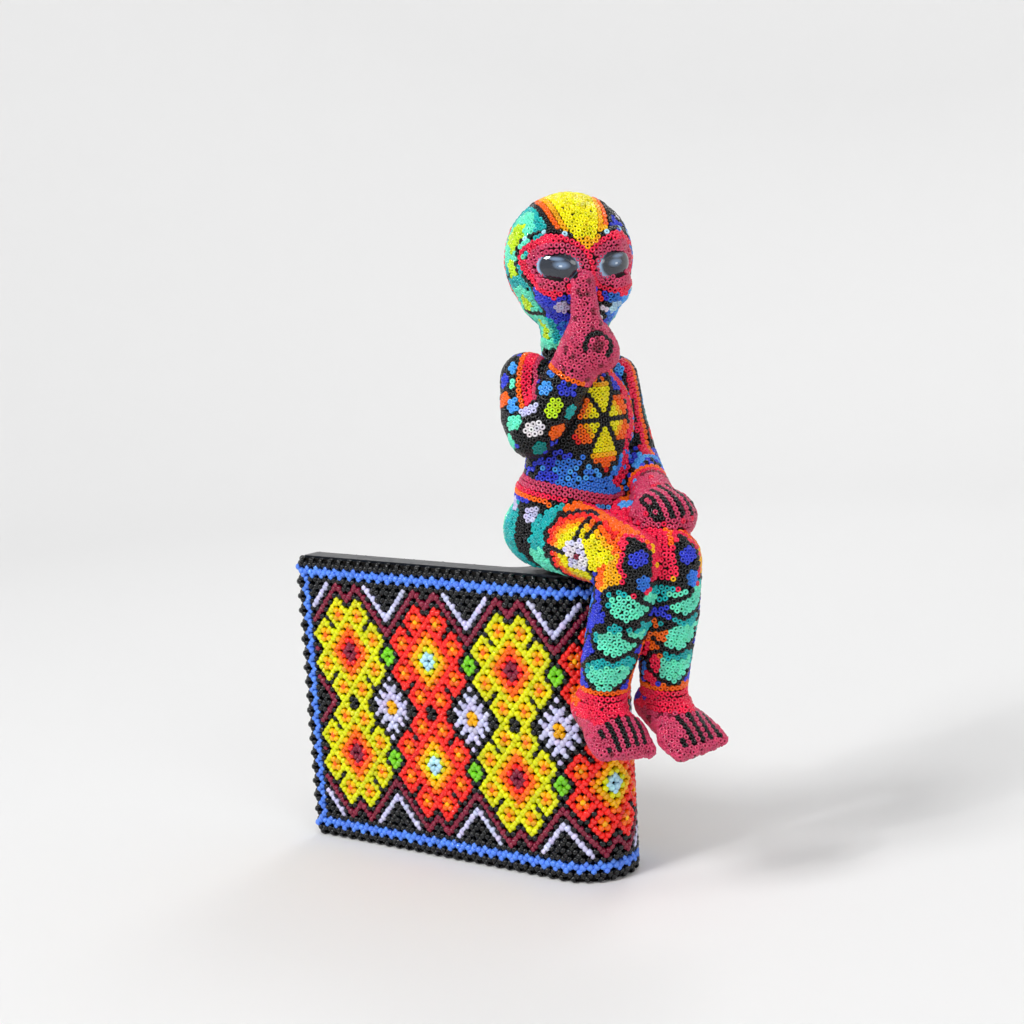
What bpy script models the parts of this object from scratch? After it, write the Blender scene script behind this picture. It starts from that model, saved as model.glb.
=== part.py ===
"""Seated beaded folk-art figure on a bead-netted stand, as separate named pieces.

The world origin is the centre of the stand's round end, at its underside. +X runs along the stand
towards that end, the flat front faces -Y, and +Z is up. The figure has its own frame, with its origin where it sits: forward, left and up,
in millimetres, turned by FIGURE_YAW. Each body region is a blob fused from balls, eggs and tapered
limbs. Beads and wax are a skin of SKIN thickness round a wooden core.
"""

import math

import bmesh
import bpy
from mathutils import Euler, Matrix, Vector

MM = 0.001
GAP = 0.3 * MM

# Stand: a thin upright board whose front runs on round a thick round end
STAND_HEIGHT = 100 * MM
STAND_RISE = 1.5 / 108
FRONT_LENGTH = 108 * MM
END_RADIUS = 16 * MM
BOARD_THICKNESS = 12 * MM
FILLET_RADIUS = 8 * MM
CORNER_RADIUS = 2.5 * MM
LEAST_CORNER = 0.4 * MM
END_STEPS = 28
FILLET_STEPS = 6
CORNER_STEPS = 3
NET_THICKNESS = 2.2 * MM
RIM_HEIGHT = 2.4 * MM
RIM_DROP = 0.7 * MM
COVER_THICKNESS = 2.5 * MM
PAD_THICKNESS = 1.6 * MM
PAD_INSET = 3 * MM

# Figure
SEAT_X = 1 * MM
SEAT = Vector((SEAT_X, 0, STAND_HEIGHT))
FIGURE_YAW = math.radians(-22)
HEAD_CENTRE = (-5.5, 6.8, 98.3)
HEAD_YAW = math.radians(-16)
SKIN = 1.9
CORE_GAP = 0.5 * MM
LEAST_CORE = 1.2
VOXEL = 1.1 * MM
SMOOTH_STEPS = 5
WORKSPACE = 0.5
OVERSHOOT = 1 * MM

# Pegs
SEAT_PEG_RADIUS = 2.2 * MM
LIMB_PEG_RADIUS = 1.6 * MM
NECK_PEG_RADIUS = 2.4 * MM
PEG_SIDES = 20
SEAT_PEG_SPREAD = 5.5
SEAT_PEG_DEPTH = 14 * MM
SEAT_PEG_RISE = 9 * MM

# Eyes, in the head's own frame
EYE_ANGLE = math.radians(27)
EYE_DROP = -2.2
EYE_SIZE = (3.0, 6.2, 3.7)
EYE_REACH = 18.6
EYE_TILT = math.radians(8)

COLOURS = {
    "wood": ((0.48, 0.30, 0.16), 0.7, 0.0),
    "peg": ((0.60, 0.42, 0.24), 0.6, 0.0),
    "lacquer": ((0.012, 0.018, 0.03), 0.25, 0.0),
    "felt": ((0.02, 0.02, 0.025), 0.95, 0.0),
    "net": ((0.75, 0.45, 0.05), 0.2, 0.0),
    "rim": ((0.01, 0.01, 0.015), 0.15, 0.0),
    "skin_warm": ((0.80, 0.35, 0.05), 0.2, 0.0),
    "skin_cool": ((0.03, 0.22, 0.40), 0.2, 0.0),
    "skin_rose": ((0.50, 0.06, 0.14), 0.2, 0.0),
    "eye": ((0.02, 0.03, 0.045), 0.05, 0.0),
}


def clear_scene():
    for old in list(bpy.data.objects):
        bpy.data.objects.remove(old)


def new_collection(name, hidden=False):
    collection = bpy.data.collections.new(name)
    collection.hide_render = hidden
    bpy.context.scene.collection.children.link(collection)
    return collection


def material(key):
    found = bpy.data.materials.get(key)
    if found:
        return found
    colour, roughness, metallic = COLOURS[key]
    made = bpy.data.materials.new(key)
    made.use_nodes = True
    shader = made.node_tree.nodes["Principled BSDF"]
    shader.inputs["Base Color"].default_value = (*colour, 1)
    shader.inputs["Roughness"].default_value = roughness
    shader.inputs["Metallic"].default_value = metallic
    return made


# ---------------------------------------------------------------- mesh helpers


def add_object(name, mesh, collection):
    obj = bpy.data.objects.new(name, mesh)
    collection.objects.link(obj)
    return obj


def helper(name, mesh):
    """A cutter or a stage of the work, which the finished part leaves out."""
    obj = add_object("stage_" + name, mesh, cutters)
    obj.hide_render = True
    obj.display_type = "WIRE"
    return obj


def piece(name, source, slot, smooth_angle=50):
    """A finished piece, from a copy of a helper's mesh."""
    obj = add_object(name, source.data.copy(), parts)
    obj.data.materials.clear()
    obj.data.materials.append(material(slot))
    obj.data.shade_smooth()
    obj.data.set_sharp_from_angle(angle=math.radians(smooth_angle))
    return obj


def settle(obj):
    """Applies the object's modifiers to its mesh."""
    graph = bpy.context.evaluated_depsgraph_get()
    mesh = bpy.data.meshes.new_from_object(obj.evaluated_get(graph), depsgraph=graph)
    obj.modifiers.clear()
    obj.data = mesh
    return obj


def copy_of(obj, name):
    return helper(name, obj.data.copy())


def combine(obj, other, operation):
    """Cuts, joins or intersects obj with other, and applies it."""
    modifier = obj.modifiers.new(operation.lower(), "BOOLEAN")
    modifier.operation = operation
    modifier.object = other
    modifier.solver = "EXACT"
    return settle(obj)


def swollen(obj, distance, name):
    """A copy whose surface is moved out by distance, or in if it is negative."""
    grown = copy_of(obj, name)
    modifier = grown.modifiers.new("offset", "DISPLACE")
    modifier.strength = distance
    modifier.mid_level = 0
    return settle(grown)


def keep_largest(obj):
    """Drops the crumbs that a cut leaves beside the main body."""
    mesh = bmesh.new()
    mesh.from_mesh(obj.data)
    left = set(mesh.verts)
    islands = []
    while left:
        stack = [left.pop()]
        island = set(stack)
        while stack:
            for edge in stack.pop().link_edges:
                for vert in edge.verts:
                    if vert in left:
                        left.remove(vert)
                        island.add(vert)
                        stack.append(vert)
        islands.append(island)
    main = max(islands, key=len)
    crumbs = [vert for island in islands if island is not main for vert in island]
    bmesh.ops.delete(mesh, geom=crumbs, context="VERTS")
    mesh.to_mesh(obj.data)
    mesh.free()
    return obj


def from_bmesh(name, mesh):
    data = bpy.data.meshes.new(name)
    bmesh.ops.recalc_face_normals(mesh, faces=mesh.faces)
    mesh.to_mesh(data)
    mesh.free()
    return helper(name, data)


def half_space(name, point, normal):
    """A large box that fills the side of a plane that its normal points to."""
    mesh = bmesh.new()
    lift = Matrix.Translation((0, 0, WORKSPACE / 2))
    bmesh.ops.create_cube(mesh, size=WORKSPACE, matrix=lift)
    turn = Vector(normal).to_track_quat("Z", "Y").to_matrix().to_4x4()
    mesh.transform(Matrix.Translation(point) @ turn)
    return from_bmesh(name, mesh)


def rod(name, start, end, radius, sides=PEG_SIDES):
    """A straight round rod between two points."""
    mesh = bmesh.new()
    axis = end - start
    turn = axis.to_track_quat("Z", "Y").to_matrix().to_4x4()
    bmesh.ops.create_cone(
        mesh,
        segments=sides,
        radius1=radius,
        radius2=radius,
        depth=axis.length,
        cap_ends=True,
        matrix=Matrix.Translation((start + end) / 2) @ turn,
    )
    return from_bmesh(name, mesh)


# ---------------------------------------------------------------- stand


def arc(centre, radius, first, last, steps):
    """Points along an arc, with both angles in radians."""
    angles = [first + (last - first) * step / steps for step in range(steps + 1)]
    return [centre + radius * Vector((math.cos(angle), math.sin(angle))) for angle in angles]


def stand_outline(inset):
    """The plan of the stand moved in by inset, anticlockwise from where the front meets the round end."""
    left = -FRONT_LENGTH + inset
    front = -END_RADIUS + inset
    back = -END_RADIUS + BOARD_THICKNESS - inset
    end_radius = END_RADIUS - inset
    fillet = FILLET_RADIUS + inset
    rise = back + fillet
    run = math.sqrt((end_radius + fillet) ** 2 - rise**2)
    meets = math.atan2(rise, -run)
    points = arc(Vector((0, 0)), end_radius, -math.pi / 2, meets, END_STEPS)
    points += arc(Vector((-run, rise)), fillet, meets - math.pi, -math.pi / 2, FILLET_STEPS)[1:]
    corner = max(CORNER_RADIUS - inset, LEAST_CORNER)
    back_corner = Vector((left + corner, back - corner))
    front_corner = Vector((left + corner, front + corner))
    points += arc(back_corner, corner, math.pi / 2, math.pi, CORNER_STEPS)
    points += arc(front_corner, corner, math.pi, 3 * math.pi / 2, CORNER_STEPS)
    return points


def stand_slab(name, inset, low, high):
    """An upright prism of the stand's plan, between two heights.

    The stand is a little taller at its square end, and levels in between rise in proportion.
    """
    mesh = bmesh.new()
    face = mesh.faces.new([mesh.verts.new((spot.x, spot.y, low)) for spot in stand_outline(inset)])
    top = bmesh.ops.extrude_face_region(mesh, geom=[face])["geom"]
    moved = [item for item in top if isinstance(item, bmesh.types.BMVert)]
    bmesh.ops.translate(mesh, verts=moved, vec=(0, 0, high - low))
    for vert in mesh.verts:
        vert.co.z -= STAND_RISE * vert.co.x * vert.co.z / STAND_HEIGHT
    return from_bmesh(name, mesh)


def net_band(name, low, high):
    """A band of bead net all round the stand."""
    band = stand_slab(name + "_outer", 0, low, high)
    bore = stand_slab(name + "_bore", NET_THICKNESS, low - OVERSHOOT, high + OVERSHOOT)
    return combine(band, bore, "DIFFERENCE")


def build_stand(peg_bores):
    """The wooden core, cover, foot felt and bead net. peg_bores are the figure's seat pegs."""
    inside = NET_THICKNESS + GAP
    cover_low = STAND_HEIGHT - COVER_THICKNESS
    core = stand_slab("core", inside, PAD_THICKNESS + GAP, cover_low - GAP)
    cover = stand_slab("cover", inside, cover_low, STAND_HEIGHT)
    for bore in peg_bores:
        combine(core, bore, "DIFFERENCE")
        combine(cover, bore, "DIFFERENCE")
    piece("stand_core", core, "wood", 30)
    piece("stand_top_cover", cover, "lacquer", 30)
    piece("stand_foot_felt", stand_slab("felt", PAD_INSET, 0, PAD_THICKNESS), "felt", 30)
    rim_top = STAND_HEIGHT - RIM_DROP
    rim_low = rim_top - RIM_HEIGHT
    piece("bead_net_panel", net_band("panel", RIM_HEIGHT + GAP, rim_low - GAP), "net", 30)
    piece("bead_net_top_rim", net_band("top_rim", rim_low, rim_top), "rim", 30)
    piece("bead_net_bottom_rim", net_band("bottom_rim", GAP, RIM_HEIGHT), "rim", 30)


# ---------------------------------------------------------------- figure forms


def place(point):
    """A figure point (forward, left, up), in millimetres, as a world position."""
    forward, left, up = (value * MM for value in point)
    turned = Vector((forward, left, 0))
    turned.rotate(Euler((0, 0, FIGURE_YAW)))
    return SEAT + turned + Vector((0, 0, up))


def head_point(forward, left, up):
    """A point of the head's own frame, in the figure's frame."""
    turned = Vector((forward, left, up))
    turned.rotate(Euler((0, 0, HEAD_YAW)))
    return tuple(Vector(HEAD_CENTRE) + turned)


def ball(point, radius):
    return (point, (radius, radius, radius), 0, 0)


def egg(point, sizes, yaw=0, pitch=0):
    """An ellipsoid with half sizes forward, left and up, turned and then nose down by pitch."""
    return (point, sizes, yaw, pitch)


def limb(*stations):
    """A tapered run of balls through (point, radius) stations."""
    shapes = []
    for (start, first), (end, last) in zip(stations, stations[1:]):
        begin, finish = Vector(start), Vector(end)
        steps = max(2, math.ceil((finish - begin).length / 1.6))
        for step in range(steps + 1):
            share = step / steps
            shapes.append(ball(tuple(begin.lerp(finish, share)), first + share * (last - first)))
    return shapes


def form(name, shapes, faces, shrink=0.0):
    """Fuses shapes into one smooth closed blob of about that many faces, each shape shrunk.

    A shape too slim to hold a core under its skin is left out of the shrunk blob.
    """
    mesh = bmesh.new()
    for point, sizes, yaw, pitch in shapes:
        if min(sizes) - shrink < LEAST_CORE:
            continue
        scale = [(size - shrink) * MM for size in sizes]
        turn = Euler((0, pitch, FIGURE_YAW + yaw)).to_matrix().to_4x4()
        matrix = Matrix.Translation(place(point)) @ turn @ Matrix.Diagonal((*scale, 1))
        bmesh.ops.create_icosphere(mesh, subdivisions=3, radius=1, matrix=matrix)
    obj = from_bmesh(name, mesh)
    remesh = obj.modifiers.new("fuse", "REMESH")
    remesh.mode = "VOXEL"
    remesh.voxel_size = VOXEL
    smooth = obj.modifiers.new("smooth", "SMOOTH")
    smooth.iterations = SMOOTH_STEPS
    settle(obj)
    keep_largest(obj)
    thin = obj.modifiers.new("thin", "DECIMATE")
    thin.ratio = faces / (2 * len(obj.data.polygons))
    settle(obj)
    return obj


def toes(ball_point, aim, across, lengths):
    """Five toes side by side, from the ball of the foot along aim."""
    shapes = []
    for index, length in enumerate(lengths):
        start = Vector(ball_point) + Vector(across) * (index - 2)
        shapes += limb((tuple(start), 2.9), (tuple(start + Vector(aim) * length), 2.5))
    return shapes


HEAD = [
    egg(HEAD_CENTRE, (21.2, 20.4, 20.8), HEAD_YAW),
    egg(head_point(4, 0.5, -12.5), (15.5, 14, 12.5), HEAD_YAW),
    egg((-6, 5, 88), (14, 14.8, 12), HEAD_YAW),
    ball(head_point(11, 0, -18), 6.5),
    ball(head_point(12.5, 8.5, -9), 7.5),
    ball(head_point(12.5, -8.5, -9), 7.5),
    ball(head_point(14.5, 8.5, 4), 5.6),
    ball(head_point(14.5, -8.5, 4), 5.6),
    *limb((head_point(19.5, 0, -3), 1.8), (head_point(20.6, 0, -9), 2.4)),
    *limb((head_point(1, 0, -18), 10.8), ((-4, 7.3, 68), 10.6)),
]
TORSO = [
    egg((-3, -1.6, 13.5), (19, 20.6, 14.4)),
    egg((-0.5, 0.2, 24), (15, 20.2, 14)),
    egg((1, 2, 33), (12.8, 18.6, 17)),
    egg((1.5, 4.6, 47), (12.8, 17.4, 19)),
    egg((-3, 5.5, 60.5), (8.5, 18.5, 7)),
    *limb((head_point(1, 0, -18), 10.8), ((-4, 7.3, 62), 11.2)),
]
RIGHT_SHOULDER = (-4, -12.2, 61.6)
RIGHT_ELBOW = (5.4, -17.2, 45.2)
RIGHT_WRIST = (11, -5.6, 63)
RIGHT_ARM = [
    *limb((RIGHT_SHOULDER, 8.5), ((0, -16, 51), 8.0), (RIGHT_ELBOW, 7.8)),
    *limb((RIGHT_ELBOW, 7.8), ((8, -11.6, 54), 7.8), (RIGHT_WRIST, 7.0)),
    *limb((RIGHT_WRIST, 7.0), ((14.4, -1.6, 71), 8.0), ((15.1, -2, 78), 4.6)),
    *limb(((15.1, -2, 78), 4.6), ((14.5, -1.8, 90.6), 3.7)),
    *limb(((13.5, 2, 73.5), 5.6), ((17, 1.2, 69), 6.4)),
]
LEFT_SHOULDER = (-2, 20, 59.4)
LEFT_ELBOW = (1, 24.4, 33.5)
LEFT_WRIST = (17.5, 17.6, 25)
LEFT_FINGERS = (38, 11, 15.5)
LEFT_ARM = [
    *limb((LEFT_SHOULDER, 7.4), ((-1.5, 22.8, 46), 6.8), (LEFT_ELBOW, 6.9)),
    *limb((LEFT_ELBOW, 6.9), (LEFT_WRIST, 6.2)),
    *limb((LEFT_WRIST, 6.2), ((27, 13.8, 20), 6.8)),
    egg((30, 13, 18.2), (10.4, 10.4, 8), math.radians(-10), math.radians(20)),
]
RIGHT_KNEE = (36.5, -4.8, 7.2)
RIGHT_ANKLE = (27, -11.3, -36)
RIGHT_LEG = [
    *limb(((6, -8.5, 12.3), 12), ((21, -7.6, 10.6), 11.2), (RIGHT_KNEE, 9.6)),
    *limb((RIGHT_KNEE, 9.6), ((35, -8.4, -8), 9.5), ((30.4, -11, -24), 8.2), (RIGHT_ANKLE, 7.1)),
    *limb((RIGHT_ANKLE, 7.0), ((21.5, -12.4, -39), 6.2), ((34, -16.4, -43.6), 5.4)),
    *limb((RIGHT_ANKLE, 7.0), ((36, -14, -43), 5.2)),
    egg((37.5, -14.5, -44.2), (9, 10.2, 4.6), math.radians(-8), math.radians(32)),
    *toes((38.5, -14.7, -45.5), (0.82, -0.12, -0.42), (-0.4, 4.1, -0.2), (5.2, 6.2, 7.0, 7.6, 8.2)),
]
LEFT_KNEE = (38.4, 8.4, 5.8)
LEFT_ANKLE = (32.5, 7.8, -37)
LEFT_LEG = [
    *limb(((4, 10.5, 12.3), 12), ((20, 10.4, 10), 11), (LEFT_KNEE, 9.6)),
    *limb((LEFT_KNEE, 9.6), ((38.4, 7, -9), 9.3), ((35, 7, -25), 8.1), (LEFT_ANKLE, 7.0)),
    *limb((LEFT_ANKLE, 6.9), ((27, 7.6, -40.5), 6.1), ((38, 5.2, -44.4), 5.4)),
    *limb((LEFT_ANKLE, 6.9), ((42, 7.6, -44.5), 5.2)),
    egg((43.5, 7.4, -45.8), (9, 10.2, 4.6), math.radians(4), math.radians(32)),
    *toes((44.6, 7.2, -47.2), (0.86, 0.04, -0.42), (0.3, 4.1, 0), (8.2, 7.6, 7.0, 6.2, 5.2)),
]


# ---------------------------------------------------------------- figure pieces


def divide(whole, name, point, towards):
    """Splits a blob at a plane, leaving GAP between. Returns the far side, then the near side."""
    at, normal = place(point), Vector(towards)
    normal.rotate(Euler((0, 0, FIGURE_YAW)))
    normal.normalize()
    far, near = copy_of(whole, name + "_far"), copy_of(whole, name + "_near")
    combine(far, half_space(name + "_cut_a", at + normal * GAP / 2, normal), "INTERSECT")
    combine(near, half_space(name + "_cut_b", at - normal * GAP / 2, -normal), "INTERSECT")
    return keep_largest(far), keep_largest(near)


def bisector(start, middle, end):
    """The direction that separates two segments at their joint, pointing to the end's side."""
    first = (Vector(start) - Vector(middle)).normalized()
    second = (Vector(end) - Vector(middle)).normalized()
    return second - first


def trimmed(obj, keep_clear):
    for other in keep_clear:
        combine(obj, other, "DIFFERENCE")
    return keep_largest(obj)


def region(name, shapes, faces, keep_clear):
    """One region of the figure: (its bead skin, its core), both trimmed to keep_clear."""
    outer = form(name + "_outer", shapes, faces)
    inner = form(name + "_inner", shapes, faces // 2, SKIN)
    skin = trimmed(copy_of(outer, name + "_skin"), keep_clear)
    combine(skin, inner, "DIFFERENCE")
    core = trimmed(swollen(inner, -CORE_GAP, name + "_core"), keep_clear)
    room = swollen(outer, GAP, name + "_room")
    return skin, core, room


def add_peg(name, start, end, radius, cores):
    """A wooden peg that joins its cores, with a clear bore in each. Returns the bore."""
    along = (end - start).normalized() * GAP
    shaft = rod(name + "_stage", start, end, radius)
    bore = rod(name + "_bore", start - along, end + along, radius + GAP)
    for core in cores:
        combine(core, bore, "DIFFERENCE")
    piece(name, shaft, "peg", 30)
    return bore


def build_eyes(skin, core):
    """Two painted almond eyes, each let into its own socket in the head."""
    for name, side in (("right_eye", -1), ("left_eye", 1)):
        yaw = side * EYE_ANGLE
        at = head_point(EYE_REACH * math.cos(yaw), EYE_REACH * math.sin(yaw), EYE_DROP)
        turn = Euler((side * EYE_TILT, 0, FIGURE_YAW + HEAD_YAW + yaw)).to_matrix().to_4x4()
        for label, extra in (("stage", 0), ("socket", GAP)):
            mesh = bmesh.new()
            scale = Matrix.Diagonal((*(size * MM + extra for size in EYE_SIZE), 1))
            matrix = Matrix.Translation(place(at)) @ turn @ scale
            bmesh.ops.create_icosphere(mesh, subdivisions=3, radius=1, matrix=matrix)
            made = from_bmesh(f"{name}_{label}", mesh)
            if label == "socket":
                combine(skin, made, "DIFFERENCE")
                combine(core, made, "DIFFERENCE")
            else:
                piece(name, made, "eye", 60)
    keep_largest(skin)


def build_limb(side, name, skin, cuts, labels, slots):
    """Cuts a limb's skin into its segments, from the body outwards."""
    rest = skin
    for number, (point, towards) in enumerate(cuts):
        rest, near = divide(rest, f"{side}_{name}_{number}", point, towards)
        piece(f"{side}_{labels[number]}_beads", near, slots[number])
    piece(f"{side}_{labels[-1]}_beads", rest, slots[-1])


def build_figure():
    seat_plane = place((0, 0, 0)) + Vector((0, 0, GAP))
    above_seat = half_space("above_seat", seat_plane, (0, 0, 1))
    stand_room = stand_slab("stand_room", -GAP, -GAP, STAND_HEIGHT + GAP)
    trunk_skin, trunk_core, trunk_room = region("torso", TORSO, 760, [])
    head_skin, head_core, head_room = region("head", HEAD, 960, [])
    neck, lean = (-3.6, 7.2, 72.5), (0.1, 0, 1)
    head_skin, _ = divide(head_skin, "head_skin", neck, lean)
    head_core, _ = divide(head_core, "head_core", neck, lean)
    _, trunk_skin = divide(trunk_skin, "torso_skin", neck, lean)
    _, trunk_core = divide(trunk_core, "torso_core", neck, lean)
    for trunk in (trunk_skin, trunk_core):
        combine(trunk, above_seat, "INTERSECT")
        keep_largest(trunk)

    clear = [trunk_room, stand_room]
    right_leg = region("right_leg", RIGHT_LEG, 800, clear)
    left_leg = region("left_leg", LEFT_LEG, 800, [*clear, right_leg[2]])
    clear = [trunk_room, head_room, left_leg[2], right_leg[2]]
    right_arm = region("right_arm", RIGHT_ARM, 640, clear)
    left_arm = region("left_arm", LEFT_ARM, 520, clear)

    build_eyes(head_skin, head_core)
    add_peg(
        "neck_peg", place((-3.4, 7, 62)), place((-2.4, 6.6, 86)), NECK_PEG_RADIUS, (trunk_core, head_core)
    )
    seat_bores = []
    for name, side in (("seat_peg_right", -1), ("seat_peg_left", 1)):
        foot = place((-4, side * SEAT_PEG_SPREAD, 0))
        low = foot - Vector((0, 0, SEAT_PEG_DEPTH))
        high = foot + Vector((0, 0, SEAT_PEG_RISE))
        seat_bores.append(add_peg(name, low, high, SEAT_PEG_RADIUS, (trunk_core, trunk_skin)))

    piece("head_core", head_core, "wood")
    piece("torso_core", trunk_core, "wood")
    piece("head_beads", head_skin, "skin_warm")
    piece("torso_beads", trunk_skin, "skin_warm")

    arm_labels, arm_slots = ("upper_arm", "forearm", "hand"), ("skin_cool", "skin_cool", "skin_rose")
    leg_labels, leg_slots = ("thigh", "shin", "foot"), ("skin_warm", "skin_cool", "skin_rose")
    arms = (
        ("right", right_arm, (RIGHT_SHOULDER, RIGHT_ELBOW, RIGHT_WRIST), (3.8, 4.2, 8)),
        ("left", left_arm, (LEFT_SHOULDER, LEFT_ELBOW, LEFT_WRIST), (10, -4.5, -5)),
    )
    for side, (skin, core, _), (shoulder, elbow, wrist), aim in arms:
        piece(f"{side}_arm_core", core, "wood")
        cuts = ((elbow, bisector(shoulder, elbow, wrist)), (wrist, aim))
        build_limb(side, "arm", skin, cuts, arm_labels, arm_slots)
    legs = (
        ("right", right_leg, (6, -8.5, 12.3), RIGHT_KNEE, RIGHT_ANKLE),
        ("left", left_leg, (4, 10.5, 12.3), LEFT_KNEE, LEFT_ANKLE),
    )
    for side, (skin, core, _), hip, knee, ankle in legs:
        piece(f"{side}_leg_core", core, "wood")
        cuts = ((knee, bisector(hip, knee, ankle)), (ankle, (0.25, 0, -1)))
        build_limb(side, "leg", skin, cuts, leg_labels, leg_slots)
    return seat_bores


clear_scene()
parts = new_collection("huichol_beaded_figure")
cutters = new_collection("cutters", hidden=True)
build_stand(build_figure())
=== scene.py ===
"""The beads, wax, net, paint, wood and felt of the seated beaded figure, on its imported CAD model.

Lengths are in metres. A figure point is (forward, left, up) in millimetres from where the figure
sits, and places in the net count its bead columns and rows.
"""

import math

import bmesh
import bpy
import numpy as np
from mathutils import Euler, Matrix, Vector
from mathutils.bvhtree import BVHTree
from mathutils.kdtree import KDTree


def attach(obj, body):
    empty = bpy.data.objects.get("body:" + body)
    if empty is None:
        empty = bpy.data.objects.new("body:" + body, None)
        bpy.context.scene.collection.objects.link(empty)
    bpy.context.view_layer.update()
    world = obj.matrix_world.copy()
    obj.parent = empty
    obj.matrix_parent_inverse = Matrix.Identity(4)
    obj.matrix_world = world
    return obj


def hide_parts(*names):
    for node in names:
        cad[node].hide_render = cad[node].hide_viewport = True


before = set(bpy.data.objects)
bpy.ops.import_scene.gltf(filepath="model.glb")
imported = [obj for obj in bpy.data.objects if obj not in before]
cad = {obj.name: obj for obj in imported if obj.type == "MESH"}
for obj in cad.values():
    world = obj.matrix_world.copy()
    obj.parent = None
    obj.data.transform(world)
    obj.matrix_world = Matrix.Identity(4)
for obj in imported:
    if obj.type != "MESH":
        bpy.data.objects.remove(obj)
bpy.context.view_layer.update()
rng = np.random.default_rng(11)
MM = 0.001

# The CAD model's own dimensions
SEAT = Vector((1, 0, 100)) * MM
FIGURE_YAW = math.radians(-22)
HEAD_CENTRE = (-5.5, 6.8, 98.3)
HEAD_YAW = math.radians(-16)
HEAD_RADIUS = 20.5
FRONT_LENGTH, END_RADIUS, BOARD_THICKNESS, FILLET_RADIUS = 108 * MM, 16 * MM, 12 * MM, 8 * MM
STAND_RISE = 1.5 / 108
FULL_TURN = 2 * math.pi

# The eyes: degrees outwards and up from straight ahead, tilt, and half of each side in mm
EYE_YAW, EYE_DROP = 27, -6.5
EYE_TILT = math.radians(8)
EYE_HALF = (6.2, 3.7)

# Beads
PITCH = 1.82 * MM
BEAD_RADIUS, BEAD_HOLE, BEAD_LENGTH = 0.93 * MM, 0.3 * MM, 1.25 * MM
MOST_BEADS = 900  # in one piece, so that the export keeps each bead whole
NET_RADIUS, NET_HOLE, NET_LENGTH = 1.24 * MM, 0.34 * MM, 1.85 * MM
NET_INSET = 1.1 * MM
COLUMN = 2.17 * MM
ROWS = (-12, 26)
TOP_ROW, BOTTOM_ROW = 98.5 * MM, 1.45 * MM
FIRST_COLUMN = -10
MOTIF_WIDTH = 16
PETALS = [(x, y) for x in (-2, 2) for y in (-5, 5)] + [(x, y) for x in (-5, 5) for y in (-2, 2)]

PALETTE = {
    "lemon": (240, 230, 0),
    "citron": (222, 224, 6),
    "golden": (250, 180, 0),
    "orange": (255, 104, 12),
    "red": (250, 40, 34),
    "crimson": (242, 32, 76),
    "rose": (206, 62, 102),
    "wine": (132, 28, 56),
    "cornflower": (88, 140, 248),
    "lavender": (208, 206, 242),
    "pale": (180, 226, 246),
    "white": (232, 226, 234),
    "lime": (200, 236, 20),
    "green": (122, 208, 30),
    "turquoise": (14, 178, 180),
    "mint": (104, 234, 198),
    "teal": (0, 136, 132),
    "royal": (48, 62, 212),
    "mid": (48, 122, 226),
    "sky": (74, 168, 250),
    "black": (7, 9, 13),
}


def srgb(colour):
    """A colour of 0 to 255 in the linear values that shaders take."""
    share = np.array(colour) / 255
    return np.where(share <= 0.04045, share / 12.92, ((share + 0.055) / 1.055) ** 2.4)


LINEAR = {name: srgb(colour) for name, colour in PALETTE.items()}

# ---------------------------------------------------------------- materials


def new_material(name, colour, roughness, **values):
    """A Principled material, its node tree and its shader."""
    made = bpy.data.materials.new(name)
    made.use_nodes = True
    tree = made.node_tree
    shader = tree.nodes["Principled BSDF"]
    shader.inputs["Base Color"].default_value = (*colour, 1)
    shader.inputs["Roughness"].default_value = roughness
    for key, value in values.items():
        shader.inputs[key.replace("_", " ")].default_value = value
    return made, tree, shader


def add_node(tree, kind, **values):
    """A shader node with its inputs set, or linked where the value is another node's output."""
    made = tree.nodes.new(f"ShaderNode{kind}")
    for key, value in values.items():
        plug = made.inputs[key.replace("_", " ")]
        if isinstance(value, bpy.types.NodeSocket):
            tree.links.new(value, plug)
        else:
            plug.default_value = value
    return made


def noise(tree, scale, detail=3, stretch=(1, 1, 1)):
    """Object-space noise at that many features a metre."""
    place = add_node(tree, "TexCoord").outputs["Object"]
    turn = add_node(tree, "Mapping", Vector=place, Scale=stretch).outputs["Vector"]
    return add_node(tree, "TexNoise", Vector=turn, Scale=scale, Detail=detail).outputs["Fac"]


def ramp(tree, source, low, high):
    """source as a colour between low and high."""
    made = add_node(tree, "ValToRGB", Fac=source)
    for element, position, colour in zip(made.color_ramp.elements, (0.3, 0.7), (low, high)):
        element.position = position
        element.color = (*colour, 1)
    return made.outputs["Color"]


def vary_roughness(tree, shader, source, low, high):
    """Roughness that follows source from low to high."""
    spread = add_node(tree, "MapRange", Value=source, To_Min=low, To_Max=high)
    tree.links.new(spread.outputs["Result"], shader.inputs["Roughness"])


def bump(tree, shader, source, strength, distance):
    """Fine relief that follows source."""
    made = add_node(tree, "Bump", Height=source, Strength=strength, Distance=distance)
    tree.links.new(made.outputs["Normal"], shader.inputs["Normal"])


def painted_material(name, attribute, low, high, mottle, **values):
    """Colour from a mesh attribute with a fine mottle, and roughness from low to high."""
    made, tree, shader = new_material(name, (0.5, 0.5, 0.5), high, **values)
    colour = tree.nodes.new("ShaderNodeAttribute")
    colour.attribute_name = attribute
    shade = ramp(tree, noise(tree, 1400), (1 - mottle,) * 3, (1, 1, 1))
    mix = tree.nodes.new("ShaderNodeMix")
    mix.data_type = "RGBA"
    mix.blend_type = "MULTIPLY"
    mix.inputs["Factor"].default_value = 1
    tree.links.new(colour.outputs["Color"], mix.inputs["A"])
    tree.links.new(shade, mix.inputs["B"])
    tree.links.new(mix.outputs["Result"], shader.inputs["Base Color"])
    vary_roughness(tree, shader, noise(tree, 500), low, high)
    return made


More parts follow.
